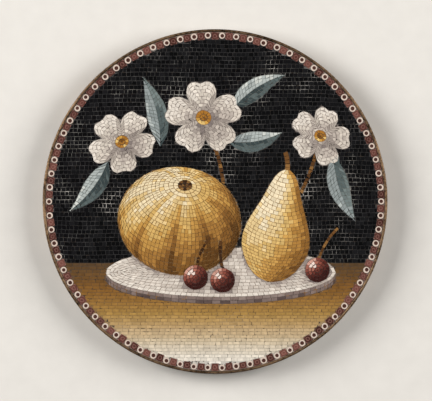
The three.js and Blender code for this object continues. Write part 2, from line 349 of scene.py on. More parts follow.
# Red-brown cane glass: drawn out of many folds, so that its cut end shows faint pink rings
cane_brown, tree, surface, spot = new_finish("red_brown_cane_glass")
tint = add_node(tree, "ShaderNodeAttribute", {}, attribute_name="tint").outputs["Color"]
cut_end = add_node(tree, "ShaderNodeUVMap", {}, uv_map="CaneEnd").outputs["UV"]
from_core = add_node(tree, "ShaderNodeVectorMath", {0: cut_end}, operation="LENGTH").outputs["Value"]
wander = add_node(tree, "ShaderNodeTexNoise", {"Vector": spot, "Scale": 1 / (FOLD_BEND * MM), "Detail": 2.0})
drift = add_node(tree, "ShaderNodeMath", {0: wander.outputs["Fac"], 1: FOLD_DRIFT}, operation="MULTIPLY")
folds = add_node(
    tree,
    "ShaderNodeMath",
    {0: from_core, 1: FOLD_RATE, 2: drift.outputs["Value"]},
    operation="MULTIPLY_ADD",
)
rings = add_node(tree, "ShaderNodeMath", {0: folds.outputs["Value"]}, operation="SINE").outputs["Value"]
strength = add_node(tree, "ShaderNodeMapRange", {"Value": rings, "From Min": 0.2, "To Max": 0.35})
drawn = add_node(
    tree,
    "ShaderNodeMix",
    {"Factor": strength.outputs["Result"], "A": tint, "B": linear("#B98A80")},
    data_type="RGBA",
)
tree.links.new(drawn.outputs["Result"], surface.inputs["Base Color"])
add_glass_surface(tree, surface, spot)


def cased_glass(name, dark, pale):
    """Cane glass in two close shades that cloud into each other."""
    finish, tree, surface, spot = new_finish(name)
    clouds = add_node(
        tree, "ShaderNodeTexNoise", {"Vector": spot, "Scale": 1 / (CANE_CLOUD * MM), "Detail": 3.0}
    )
    clouded = add_node(
        tree,
        "ShaderNodeMix",
        {"Factor": clouds.outputs["Fac"], "A": linear(dark), "B": linear(pale)},
        data_type="RGBA",
    )
    tree.links.new(clouded.outputs["Result"], surface.inputs["Base Color"])
    add_glass_surface(tree, surface, spot)
    return finish


# White cane glass, slightly creamy and clouded, and the dark core that was cased in it
cane_white = cased_glass("white_cane_glass", "#C2AEA1", "#E4D5C9")
cane_dark = cased_glass("dark_core_glass", "#2A1916", "#5E3D35")


def on_circle(angle, radius):
    return radius * math.cos(angle), radius * math.sin(angle)


bm = bmesh.new()
pitch = 2 * math.pi / BORDER_COUNT
block_outside = CANE_CIRCLE + CANE_RADIUS
block_half = pitch / 2 - CANE_RADIUS / CANE_CIRCLE
for i in range(BORDER_COUNT):
    middle = (i + 0.5) * pitch
    inside = block_outside - BLOCK_LENGTH + chance.uniform(*BLOCK_UNEVEN)
    brown = varied(chance.choice(BORDER_BROWNS))
    lay_course(
        bm, on_circle, [middle - block_half, middle + block_half], inside, block_outside, lambda *at: brown
    )
part_tesserae(bm)
cane_end = bm.loops.layers.uv.new("CaneEnd")
for face in bm.faces:
    for loop, corner in zip(face.loops, ((-1, -1), (1, -1), (1, 1), (-1, 1))):
        loop[cane_end].uv = corner
seated = [np.array([vert.co.xy for vert in face.verts]) for face in bm.faces]  # outlines, for what adjoins
set_tesserae(bm, FACE, JOINT)
feet = []
for i in range(BORDER_COUNT):
    angle = i * pitch + chance.uniform(-CANE_TURN, CANE_TURN)
    x, y = on_circle(angle, CANE_CIRCLE - chance.uniform(0, CANE_SHIFT))
    radius = CANE_RADIUS * chance.uniform(*CANE_SIZES)
    seat = Matrix.Translation((x, y, BED_TOP))
    cane = bmesh.ops.create_circle(bm, cap_ends=True, segments=CANE_SIDES, radius=radius, matrix=seat)
    feet.extend(cane["verts"][0].link_faces)
    seated.append(np.array([vert.co.xy for vert in cane["verts"]]))
for core in raise_blocks(bm, feet, FACE):
    bmesh.ops.inset_individual(bm, faces=[core], thickness=CANE_RADIUS - CANE_CORE - CHAMFER)
    core.material_index = 2
    aside = Vector((chance.uniform(-CORE_SHIFT, CORE_SHIFT), chance.uniform(-CORE_SHIFT, CORE_SHIFT), 0))
    bmesh.ops.translate(bm, verts=core.verts[:], vec=aside)
for foot in feet:
    sides = {face for vert in foot.verts for face in vert.link_faces}
    chamfers = {face for side in sides for vert in side.verts for face in vert.link_faces}
    rings = {face for chamfer in chamfers for vert in chamfer.verts for face in vert.link_faces}
    for face in sides | chamfers | rings:
        face.material_index = max(face.material_index, 1)
spread_for_baking(bm)
finish_piece(
    bm, "border_canes_and_blocks", [cane_brown, cane_white, cane_dark], "smalti_border", "border_tesserae"
)


# Cherries
# Three small dark fruits in front, in rings of red-brown tesserae with a pale glint, each with a stalk of one
# row of brown ones. They are laid first, and every later field is nipped to fit round them.
CHERRY_RINGS = 4
CHERRY_LENGTH = 0.66  # of a tessera along its ring
CHERRY_REDS = ["#3A1B18", "#512721", "#6C382F", "#86493D", "#A66A5B", "#CB9B8C"]
CHERRY_GLINT = "#F0DCD2"
GLINT_PLACE = (-0.36, 0.4)  # on the cherry's unit disc
GLINT_RADIUS = 0.24
CHERRY_BRIGHTEST = 0.95  # the tone of what faces the light
CHERRY_CONTRAST = 3.2  # how fast it darkens away from there
RING_HOLE = 0.05  # left at the very middle, as a share of the first ring
STALK_HALF_WIDTH = 0.26
STALK_LENGTH = 0.75  # of a tessera along a stalk or twig
STALK_BROWNS = ["#3B2515", "#55381E", "#6E4B28", "#8A6438"]
DARK_BROWNS = STALK_BROWNS[:2]  # for a stalk that crosses the melon
LIGHT_BROWNS = STALK_BROWNS[1:]  # for one against the black field
STALK_WAX = "#3A2A1C"
SMALTO_CLOUD = 0.7  # across a cloud in the glass
ON_MELON = (1, 2)  # the cherries whose stalks cross it
CHERRY_STALKS = {  # where each starts and ends, and its bow as a share of its length
    1: ((-3.2, -11.6), (-0.8, -6.2), 0.16),
    2: ((1.4, -12.1), (1.0, -6.8), 0.1),
    3: ((18.0, -10.2), (21.4, -4.6), 0.14),
}
FINE_JOINT = 0.06  # between the tesserae of a figure
LEAST_SHARE = 0.3  # of a tessera that is still worth setting once it has been nipped
SIGHT_LINES = (0.25, 0.5, 0.75)  # shares of the way to a corner, at which a thin figure is looked for
NO_LENGTH = 1e-9  # stands for nothing where a length is divided by
LAYER_STEP = 0.002  # each later field lies this much lower, so that a nipped edge never covers a figure
LIGHT = Vector((-0.5, 0.6, 0.62)).normalized()  # where the picture's own light comes from

laid = []  # the outline of each field in place, with the colour of the wax in its joints


def nearest_on(outline, spots):
    """For each spot, the nearest place on a closed outline, and whether the spot is inside it."""
    after = np.roll(outline, -1, axis=0)
    step = after - outline
    along = np.einsum("psk,sk->ps", spots[:, None] - outline, step) / np.maximum((step**2).sum(1), NO_LENGTH)
    foot = outline + np.clip(along, 0, 1)[..., None] * step
    nearest = np.linalg.norm(spots[:, None] - foot, axis=2).argmin(1)
    x, y = spots[:, :1], spots[:, 1:]
    level = (outline[:, 1] > y) != (after[:, 1] > y)
    rise = np.where(step[:, 1] == 0, NO_LENGTH, step[:, 1])
    crossed = level & (x < outline[:, 0] + step[:, 0] * (y - outline[:, 1]) / rise)
    return foot[np.arange(len(spots)), nearest], crossed.sum(1) % 2 == 1


def nip_tesserae(bm, within=math.inf):
    """Nip each tessera back from the figures already laid and to the picture's edge, and drop mere scraps.

    A corner that lies under a figure, or beyond a thin one, goes to the figure's outline."""
    faces = bm.faces[:]
    corners = np.array([[vert.co.xy for vert in face.verts] for face in faces])
    whole = np.array([face.calc_area() for face in faces])
    lost = np.zeros(len(faces), bool)
    for outline in seated + [field for field, _ in laid]:
        near = ((corners > outline.min(0)) & (corners < outline.max(0))).all(2)
        covered = near.copy()
        if near.any():
            foot, covered[near] = nearest_on(outline, corners[near])
            corners[covered] = foot[covered[near]]
            lost |= covered.all(1)
        beside = ((corners.max(1) > outline.min(0)) & (corners.min(1) < outline.max(0))).all(1) & ~lost
        if beside.any():
            middle = corners[beside].mean(1, keepdims=True)
            reach = corners[beside] - middle
            nipped, clear = corners[beside], ~covered[beside]
            for share in SIGHT_LINES:
                foot, inside = nearest_on(outline, (middle + share * reach).reshape(-1, 2))
                beyond = inside.reshape(clear.shape) & clear
                nipped[beyond] = foot.reshape(nipped.shape)[beyond]
                clear &= ~beyond
            corners[beside] = nipped
    reach = np.linalg.norm(corners, axis=2, keepdims=True)
    lost |= (reach[..., 0] > within).all(1)
    corners *= np.minimum(1, within / np.maximum(reach, NO_LENGTH))
    x, y = corners[..., 0], corners[..., 1]
    left = (x * np.roll(y, -1, axis=1) - np.roll(x, -1, axis=1) * y).sum(1) / 2
    lost |= left < LEAST_SHARE * whole
    for face, spots in zip(faces, corners):
        for vert, spot in zip(face.verts, spots):
            vert.co.xy = spot
    bmesh.ops.delete(bm, geom=[face for face, gone in zip(faces, lost) if gone], context="FACES")


def finish_field(bm, name, slot, outline, wax, joint=FINE_JOINT, within=math.inf):
    """Set a field of tesserae round the figures already laid, and add it to them.

    wax turns a place into the colour that is rubbed into the joints there, or is one colour for them all."""
    part_tesserae(bm)
    nip_tesserae(bm, within)
    set_tesserae(bm, FACE - LAYER_STEP * len(laid), joint)
    spread_for_baking(bm)
    finish_piece(bm, name + "_set", [smalto], slot, name)
    laid.append((np.array(outline), wax if callable(wax) else lambda x, y: linear(wax)))


def graded(shades, tone):
    """The glass for a tone from 0, dark, to 1, light, out of a short row of shades."""
    step = int((tone + chance.uniform(-0.05, 0.05)) * len(shades))
    return varied(shades[min(max(step, 0), len(shades) - 1)])


def mixed(shades):
    """Glass that is picked by chance out of a short row of shades, whatever its place."""
    return lambda *at: graded(shades, chance.random())


def lit(x, y):
    """How light a rounded form is at a place on its unit disc, from 0 to 1."""
    facing = Vector((x, y, math.sqrt(max(0.0, 1 - x * x - y * y))))
    return 0.5 + 0.5 * facing.dot(LIGHT)


def bowed(start, end, bow):
    """A curve that bows to its left by a share of its length.

    It comes as two functions: its place, and the direction to its right, at a share of the way along."""
    start, end = np.array(start), np.array(end)
    middle = (start + end) / 2 + bow * np.array((start[1] - end[1], end[0] - start[0]))

    def at(share):
        return (1 - share) ** 2 * start + 2 * share * (1 - share) * middle + share**2 * end

    def aside(share):
        forward = (1 - share) * (middle - start) + share * (end - middle)
        return np.array((forward[1], -forward[0])) / np.linalg.norm(forward)

    return at, aside


def strip_outline(place, steps, lines=(1, -1)):
    """The outline of a strip that a place function gives: up along one line and down along the other."""
    shares = [i / steps for i in range(steps + 1)]
    up, down = lines
    return [place(share, up) for share in shares] + [place(share, down) for share in reversed(shares)]


def full_turn(place, steps, line=1):
    """The closed outline that a place function gives in one turn along a line."""
    return [place(2 * math.pi * i / steps, line) for i in range(steps)]


def lay_stalk(name, shades, start, end, bow, half_width):
    """Lay one row of brown tesserae along a stalk or twig."""
    at, aside = bowed(start, end, bow)

    def place(share, line):
        return at(share) + aside(share) * half_width * line

    length = np.linalg.norm(np.subtract(end, start))
    stalk = bmesh.new()
    cuts = hand_cuts(0, 1, round(length / STALK_LENGTH))
    lay_course(stalk, place, cuts, -1, 1, mixed(shades))
    finish_field(stalk, name, "smalti_brown", strip_outline(place, steps=8), STALK_WAX)


# Opaque smalto: cast glass with faint clouds, in whatever colour each tessera was chosen
smalto, tree, surface, spot = new_finish("polished_smalto")
tint = add_node(tree, "ShaderNodeAttribute", {}, attribute_name="tint").outputs["Color"]
clouds = add_node(
    tree, "ShaderNodeTexNoise", {"Vector": spot, "Scale": 1 / (SMALTO_CLOUD * MM), "Detail": 3.0}
)
depth = add_node(
    tree,
    "ShaderNodeMapRange",
    {"Value": clouds.outputs["Fac"], "From Min": 0.3, "From Max": 0.7, "To Min": 0.84, "To Max": 1.1},
)
clouded = add_node(
    tree,
    "ShaderNodeMix",
    {"Factor": 1.0, "A": tint, "B": depth.outputs["Result"]},
    data_type="RGBA",
    blend_type="MULTIPLY",
)
tree.links.new(clouded.outputs["Result"], surface.inputs["Base Color"])
add_glass_surface(tree, surface, spot)

for number in (3, 2, 1):
    low, high = (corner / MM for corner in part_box(f"cherry_{number}_tesserae"))
    centre, cherry_radius = (low + high) / 2, (high.x - low.x) / 2

    def in_cherry(angle, share):
        x, y = on_circle(angle, share * cherry_radius)
        return centre.x + x, centre.y + y

    def cherry_glass(angle, share):
        x, y = on_circle(angle, share)
        if math.dist((x, y), GLINT_PLACE) < GLINT_RADIUS:
            return varied(CHERRY_GLINT)
        return graded(CHERRY_REDS, CHERRY_BRIGHTEST * lit(x, y) ** CHERRY_CONTRAST)

    bm = bmesh.new()
    for ring in range(CHERRY_RINGS):
        inner, outer = max(ring, RING_HOLE) / CHERRY_RINGS, (ring + 1) / CHERRY_RINGS
        count = max(4, round(2 * math.pi * (inner + outer) / 2 * cherry_radius / CHERRY_LENGTH))
        turn = chance.random()
        lay_course(bm, in_cherry, hand_cuts(turn, turn + 2 * math.pi, count), inner, outer, cherry_glass)
    outline = full_turn(in_cherry, steps=40)
    finish_field(bm, f"cherry_{number}_tesserae", "smalti_red", outline, "#46241D")
    shades = DARK_BROWNS if number in ON_MELON else LIGHT_BROWNS
    lay_stalk(f"cherry_{number}_stalk", shades, *CHERRY_STALKS[number], STALK_HALF_WIDTH)


# Pear
# A golden fruit that leans to the right, in courses that sag across it as if round its belly, pale towards
# the light and brown in the shade. Its stalk is one row of brown tesserae.
PEAR_FOOT = (9.4, -14.0)
PEAR_TIP = (12.6, 5.6)
PEAR_HALF_WIDTH = 6.4
PEAR_SHOULDER = 0.25  # share of its length where it begins to narrow
PEAR_NECK = 0.6  # share of its length in which it does
PEAR_NARROWING = 0.44
PEAR_BARE_END = 0.004  # share of its length left bare at each end
PEAR_BELLY = 0.42  # share of its length where it faces the viewer
PEAR_CONTRAST = 2.2
PEAR_SAG = 0.075  # of a course's middle, as a share of the pear's length
PEAR_COURSE = 0.62
PEAR_TESSERA = 0.72
PEAR_GOLDS = ["#6A4722", "#8C622E", "#AD7F3F", "#C79B54", "#D9B672", "#E5CB96", "#EFE0BF"]
PEAR_STALK = ((12.5, 5.2), (12.2, 8.6), -0.14)
PEAR_STALK_HALF_WIDTH = 0.42

pear_at, pear_aside = bowed(PEAR_FOOT, PEAR_TIP, 0)
pear_length = math.dist(PEAR_FOOT, PEAR_TIP)


def pear_half_width(share):
    climb = min(max((share - PEAR_SHOULDER) / PEAR_NECK, 0), 1)
    neck = climb * climb * (3 - 2 * climb)
    return PEAR_HALF_WIDTH * math.sqrt(max(4 * share * (1 - share), 0)) * (1 - PEAR_NARROWING * neck)


def in_pear(across, share):
    sunk = share - PEAR_SAG * (1 - across * across) * 4 * share * (1 - share)
    return pear_at(sunk) + pear_aside(0.5) * pear_half_width(sunk) * across


def pear_glass(across, share):
    upwards = min(max(1.5 * (share - PEAR_BELLY), -0.75), 0.6)
    tone = lit(0.93 * across, upwards * math.sqrt(1 - 0.86 * across * across))
    return graded(PEAR_GOLDS, 0.02 + 0.98 * tone**PEAR_CONTRAST)


bm = bmesh.new()
courses = round(pear_length / PEAR_COURSE)
lines = [PEAR_BARE_END + (1 - 2 * PEAR_BARE_END) * i / courses for i in range(courses + 1)]
for low, high in zip(lines, lines[1:]):
    count = max(1, round(2 * pear_half_width((low + high) / 2) / PEAR_TESSERA))
    lay_course(bm, in_pear, hand_cuts(-1, 1, count), low, high, pear_glass)
outline = strip_outline(lambda share, side: in_pear(side, share), steps=40)
finish_field(bm, "pear_tesserae", "smalti_gold", outline, "#8E6A38")
lay_stalk("pear_stalk_tesserae", LIGHT_BROWNS, *PEAR_STALK, PEAR_STALK_HALF_WIDTH)


# Melon
# A broad golden fruit with ten ribs and its stalk end turned to the viewer. Rings of tesserae surround the
# stalk, and from there columns run down each rib, dark in the furrows.
MELON_CENTRE = (-6.2, -3.4)
MELON_HALF_WIDTH = 10.8
MELON_HALF_HEIGHT = 9.4
MELON_TILT = math.radians(48)  # of the stalk end, from upright
MELON_ROLL = math.radians(-9)
MELON_RIBS = 10
MELON_TESSERA = 0.7
MELON_STALK = (1.25, 0.95)  # half width and half height
MELON_RINGS = [math.radians(angle) for angle in (6.5, 11, 15.5, 20, 24.5)]
MELON_SPLIT = math.radians(50)  # where each rib's columns become finer
MELON_BULGE = 0.35  # how far a rib's sides turn away
MELON_FURROW = 0.26  # how much darker a furrow is
MELON_BOUNCE = 0.16  # how much light the dish throws back
MELON_GOLDS = ["#5F3F1D", "#80582A", "#A2753A", "#BF924C", "#D3AE69", "#E1C58D", "#ECDBB6"]


def melon_normal(from_stalk, round_it):
    """The direction that the melon's surface faces, at an angle from its stalk and an angle round it."""
    stalk = Vector((0, math.cos(MELON_TILT), math.sin(MELON_TILT)))
    back = stalk.cross(Vector((1, 0, 0)))
    out = Vector((1, 0, 0)) * math.cos(round_it) + back * math.sin(round_it)
    return stalk * math.cos(from_stalk) + out * math.sin(from_stalk)


def melon_limb(round_it):
    """How far from its stalk the melon turns out of sight, at an angle round it."""
    return math.atan2(math.sin(MELON_TILT), math.cos(MELON_TILT) * math.sin(round_it))


def rolled(x, y, angle):
    """A place turned round the middle by an angle."""
    return x * math.cos(angle) - y * math.sin(angle), x * math.sin(angle) + y * math.cos(angle)


def on_melon(round_it, from_stalk):
    facing = melon_normal(from_stalk, round_it)
    x, y = rolled(MELON_HALF_WIDTH * facing.x, MELON_HALF_HEIGHT * facing.y, MELON_ROLL)
    return MELON_CENTRE[0] + x, MELON_CENTRE[1] + y


def melon_glass(round_it, from_stalk):
    facing = melon_normal(from_stalk, round_it)
    across_rib = 2 * ((round_it * MELON_RIBS / (2 * math.pi) + 0.5) % 1) - 1
    bulge = Vector((-math.sin(round_it), 0, 0)) * across_rib * MELON_BULGE
    furrow = MELON_FURROW * abs(across_rib) ** 3 * math.sin(from_stalk)
    bounce = MELON_BOUNCE * max(-facing.y - 0.5, 0)
    tone = 0.5 + 0.5 * (facing + bulge).dot(LIGHT)
    return graded(MELON_GOLDS, 0.04 + 0.94 * tone**2 - furrow + bounce)


def in_melon_stalk(angle, share):
    x, y = on_melon(0, 0)
    half_width, half_height = MELON_STALK
    return x + share * half_width * math.cos(angle), y + share * half_height * math.sin(angle)


def lay_rings(bm, place, *rings):
    """Lay rings of tesserae, each given by its inner and outer line, its count and its shades."""
    for inner, outer, count, shades in rings:
        lay_course(bm, place, hand_cuts(0, 2 * math.pi, count), inner, outer, mixed(shades))


def paced_cuts(trace, stations, length):
    """Cuts along a traced curve that give tesserae of one length, whatever its bends."""
    trail = np.array([trace(station) for station in stations])
    run = np.concatenate(([0], np.linalg.norm(np.diff(trail, axis=0), axis=1).cumsum()))
    count = max(1, round(run[-1] / length))
    return np.interp(hand_cuts(0, run[-1], count), run, stations).tolist()


bm = bmesh.new()
lay_rings(bm, in_melon_stalk, (0.05, 0.5, 5, STALK_BROWNS), (0.5, 1.0, 10, STALK_BROWNS))
finish_field(bm, "melon_stalk_tesserae", "smalti_brown", full_turn(in_melon_stalk, steps=24), STALK_WAX)

bm = bmesh.new()
for inner, outer in zip(MELON_RINGS, MELON_RINGS[1:]):
    round_length = 2 * math.pi * MELON_HALF_HEIGHT * math.sin((inner + outer) / 2)
    cuts = hand_cuts(0, 2 * math.pi, round(round_length / MELON_TESSERA))
    lay_course(bm, on_melon, cuts, inner, outer, melon_glass)


def lay_melon_columns(start, end, widest):
    """Lay each rib's columns from one angle off the stalk to another, or to where the melon turns away."""

    def off_stalk(share, round_it):
        return start + share * (min(end, melon_limb(round_it)) - start)

    def down_rib(share, round_it):
        return on_melon(round_it, off_stalk(share, round_it))

    def rib_glass(share, round_it):
        return melon_glass(round_it, off_stalk(share, round_it))

    for rib in range(MELON_RIBS):
        sides = [2 * math.pi * (rib + side) / MELON_RIBS for side in (-0.5, 0.5)]
        limb = [melon_limb(side) for side in sides]
        if min(limb) <= start:
            continue
        broad = min(widest, sum(limb) / 2)
        width = math.dist(on_melon(sides[0], min(broad, limb[0])), on_melon(sides[1], min(broad, limb[1])))
        columns = max(2, round(width / MELON_TESSERA))
        edges = [sides[0] + (sides[1] - sides[0]) * i / columns for i in range(columns + 1)]
        for left, right in zip(edges, edges[1:]):
            middle = (left + right) / 2
            cuts = paced_cuts(lambda share: down_rib(share, middle), np.linspace(0, 1, 33), MELON_TESSERA)
            lay_course(bm, down_rib, cuts, left, right, rib_glass)


lay_melon_columns(MELON_RINGS[-1], MELON_SPLIT, MELON_SPLIT)
lay_melon_columns(MELON_SPLIT, math.pi, math.pi / 2)
outline = full_turn(lambda angle, line: on_melon(angle, line * melon_limb(angle)), steps=72)
finish_field(bm, "melon_tesserae", "smalti_gold", outline, "#83602F")


# Dish
# A white oval dish under the fruit, in courses that follow its rim, greyer where the fruit shades it. Its
# edge below is two courses of lilac-grey.
DISH_CENTRE = (1.0, -12.3)
DISH_HALF_WIDTH = 20.0
DISH_HALF_HEIGHT = 4.3
DISH_EDGE = 1.2
DISH_COURSE = 0.61
DISH_TESSERA = 0.95
DISH_WHITES = ["#756A69", "#968B86", "#B2A79F", "#C9BFB5", "#D9D0C6", "#E4DCD2"]
DISH_TONE = 0.84
DISH_RIM_LIGHT = 0.12
DISH_WELL = 2.2 * DISH_COURSE  # how far in from the rim the dish dips
DISH_WELL_WIDTH = 0.3
DISH_WELL_SHADE = 0.16
FRUIT_SHADE = 0.62  # how much darker the dish is right beside a fruit
FRUIT_SHADE_REACH = 0.8
EDGE_LILACS = ["#5A4C49", "#6C5D59", "#7E6E69", "#8F807A"]
fruit_outlines = [outline for outline, _ in laid]


def in_dish(angle, inset):
    x = (DISH_HALF_WIDTH - inset) * math.cos(angle)
    return DISH_CENTRE[0] + x, DISH_CENTRE[1] + (DISH_HALF_HEIGHT - inset) * math.sin(angle)


def dish_glass(angle, inset):
    spot = np.array([in_dish(angle, inset)])
    from_fruit = min(np.linalg.norm(nearest_on(outline, spot)[0] - spot) for outline in fruit_outlines)
    rim = DISH_RIM_LIGHT if inset < DISH_COURSE else 0.0
    well = DISH_WELL_SHADE * math.exp(-(((inset - DISH_WELL) / DISH_WELL_WIDTH) ** 2))
    shade = FRUIT_SHADE * math.exp(-from_fruit / FRUIT_SHADE_REACH)
    return graded(DISH_WHITES, DISH_TONE + rim - well - shade)


bm = bmesh.new()
courses = round(DISH_HALF_HEIGHT / DISH_COURSE)
insets = [DISH_HALF_HEIGHT * i / courses for i in range(courses + 1)]
for outer, inner in zip(insets, insets[1:]):
    middle = (inner + outer) / 2
    turn = np.linspace(0, 2 * math.pi, 241)
    cuts = paced_cuts(lambda angle: in_dish(angle, middle), turn, DISH_TESSERA)
    lay_course(bm, in_dish, cuts, outer, inner, dish_glass)
outline = full_turn(in_dish, steps=96, line=0)
finish_field(bm, "dish_tesserae", "smalti_white", outline, "#9A8D83")


def in_dish_edge(angle, share):
    x, y = in_dish(angle, 0)
    return x, y - share * DISH_EDGE


bm = bmesh.new()
for upper, lower in ((0, 0.5), (0.5, 1)):
    cuts = hand_cuts(math.pi, 2 * math.pi, round(2 * DISH_HALF_WIDTH / DISH_TESSERA))
    shades = EDGE_LILACS[2:] if upper == 0 else EDGE_LILACS[:3]
    lay_course(bm, in_dish_edge, cuts, upper, lower, mixed(shades))
outline = strip_outline(lambda share, line: in_dish_edge(math.pi * (1 + share), line), steps=60, lines=(1, 0))
finish_field(bm, "dish_edge_tesserae", "smalti_lilac", outline, "#5C4E49")


# Blossoms
# Three open flowers of five notched petals, white at the tips and lilac-grey towards the heart, in arcs
# across each petal. The heart is two rings of gold and brown tesserae.
PETALS = 5
PETAL_COURSE = 0.68
PETAL_TESSERA = 0.72
PETAL_ROUNDING = 0.42  # how much shorter a petal is at its sides
PETAL_NOTCH = 0.09  # how deep its notch is
PETAL_NOTCH_WIDTH = 0.2
PETAL_MEAN_REACH = 0.9
PETAL_STEPS = 16  # of its outline
HEART_SHARE = 0.2  # of the blossom's radius
PETAL_WHITES = ["#625857", "#827875", "#A0968F", "#BDB3AA", "#D3CABF", "#E2DAD0"]
HEART_GOLDS = ["#7A4F1E", "#A8742F", "#CF9E4C", "#E4C179"]
BLOSSOMS = {
    "blossom_left": {"radius": 6.1, "squash": 0.9, "turn": math.radians(24)},
    "blossom_top": {"radius": 6.9, "squash": 0.94, "turn": math.radians(-14)},
    "blossom_right": {"radius": 5.6, "squash": 0.9, "turn": math.radians(-38)},
}


def petal_reach(across):
    """How far a petal reaches, from one edge at -1 to the other at 1, with a notch in the middle."""
    notch = PETAL_NOTCH * math.exp(-((across / PETAL_NOTCH_WIDTH) ** 2))
    return 1 - PETAL_ROUNDING * abs(across) ** 3.2 - notch


for name, blossom in BLOSSOMS.items():
    low, high = (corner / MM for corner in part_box(f"{name}_pollen"))
    centre, radius, turn = (low + high) / 2, blossom["radius"], blossom["turn"]

    def in_blossom(angle, share):
        x, y = on_circle(angle, share * radius)
        x, y = rolled(x, y * blossom["squash"], turn)
        return centre.x + x, centre.y + y

    def in_heart(angle, share):
        return in_blossom(angle, share * HEART_SHARE)

    bm = bmesh.new()
    lay_rings(bm, in_heart, (0.04, 0.5, 5, HEART_GOLDS[:2]), (0.5, 1, 11, HEART_GOLDS[1:]))
    finish_field(bm, f"{name}_pollen", "smalti_gold", full_turn(in_heart, steps=24), "#5F4220")

    bm = bmesh.new()
    courses = round((1 - HEART_SHARE) * radius / PETAL_COURSE)
    for petal in range(PETALS):

        def in_petal(across, share):
            angle = 2 * math.pi * (petal + (across + 1) / 2) / PETALS
            return in_blossom(angle, HEART_SHARE + share * (petal_reach(across) - HEART_SHARE))

        def petal_glass(across, share):
            angle = 2 * math.pi * (petal + (across + 1) / 2) / PETALS + turn
            towards_light = math.cos(angle) * LIGHT.x + math.sin(angle) * LIGHT.y
            crease = 0.2 * math.exp(-((across / 0.16) ** 2)) * (1 - share)
            overlap = 0.4 * max(abs(across) - 0.6, 0) / 0.4 * (1 - 0.5 * share)
            side = 0.12 * across * (math.sin(angle) * LIGHT.x - math.cos(angle) * LIGHT.y)
            return graded(PETAL_WHITES, 0.5 + 0.42 * share + 0.16 * towards_light - crease - overlap - side)

        for course in range(courses):
            inner, outer = course / courses, (course + 1) / courses
            reach = HEART_SHARE + (inner + outer) / 2 * (PETAL_MEAN_REACH - HEART_SHARE)
            count = max(2, round(2 * math.pi / PETALS * reach * radius / PETAL_TESSERA))
            lay_course(bm, in_petal, hand_cuts(-1, 1, count), inner, outer, petal_glass)
    steps = PETAL_STEPS * PETALS
    outline = [
        in_blossom(2 * math.pi * i / steps, petal_reach(2 * (i % PETAL_STEPS) / PETAL_STEPS - 1))
        for i in range(steps)
    ]
    finish_field(bm, f"{name}_petals", "smalti_white", outline, "#8C817B")


# Leaves
# Five lance-shaped leaves in blue-grey glass, in slanting courses that meet at the midrib, with one half
# lighter than the other. They are laid up against the blossoms.
LEAF_HALF_WIDTH = 1.8
LEAF_FULLNESS = 0.8  # below 1, it is broadest nearer its foot
LEAF_CURVE = 1.04  # the length of its bowed midrib beside a straight one
LEAF_COURSE = 0.72
LEAF_TESSERA = 0.62
LEAF_SLANT = 0.12  # how far a course's ends lie ahead of its middle, as a share of the leaf
LEAF_GREYS = ["#3B4648", "#566263", "#727E7E", "#90999A", "#AEB6B5", "#CDD2CE"]
LEAVES = [  # where each starts and ends, and its bow as a share of its length
    ((-18.6, 7.0), (-25.2, -1.6), 0.14),
    ((-9.5, 9.5), (-12.6, 21.6), -0.14),
    ((3.0, 16.0), (12.2, 22.0), 0.16),
    ((2.4, 10.4), (11.6, 12.0), -0.16),
    ((20.6, 8.0), (24.4, -3.4), -0.14),
]


def leaf_half_width(share):
    return LEAF_HALF_WIDTH * math.sin(math.pi * share**LEAF_FULLNESS)


for number, (start, end, bow) in enumerate(LEAVES, 1):
    leaf_at, leaf_aside = bowed(start, end, bow)

    def in_leaf(across, share):
        ahead = share + LEAF_SLANT * abs(across) * (1 - share)
        return leaf_at(ahead) + leaf_aside(ahead) * leaf_half_width(ahead) * across

    def leaf_glass(across, share):
        towards_light = float(leaf_aside(share) @ np.array(LIGHT.xy)) * math.copysign(1, across)
        return graded(LEAF_GREYS, 0.5 + 0.4 * towards_light - 0.18 * (1 - share) + 0.14 * abs(across))

    bm = bmesh.new()
    courses = round(math.dist(start, end) * LEAF_CURVE / LEAF_COURSE)
    for course in range(courses):
        low, high = course / courses, (course + 1) / courses
        count = max(1, round(leaf_half_width((low + high) / 2) / LEAF_TESSERA))
        cuts = hand_cuts(-1, 0, count) + hand_cuts(0, 1, count)[1:]
        lay_course(bm, in_leaf, cuts, low, high, leaf_glass)
    outline = strip_outline(lambda share, side: in_leaf(side, share), steps=30)
    finish_field(bm, f"leaf_{number}_tesserae", "smalti_blue_grey", outline, "#59625F")


# Twigs
# Two thin brown twigs that carry the upper blossoms up from behind the fruit, each one row of tesserae.
TWIG_HALF_WIDTH = 0.34
TWIGS = {  # where each starts and ends, and its bow as a share of its length
    "twig_top_tesserae": ((1.5, 2.0), (-1.5, 13.0), -0.1),
    "twig_right_tesserae": ((12.0, -3.0), (18.0, 10.5), -0.12),
}

for name, route in TWIGS.items():
    lay_stalk(name, LIGHT_BROWNS, *route, TWIG_HALF_WIDTH)


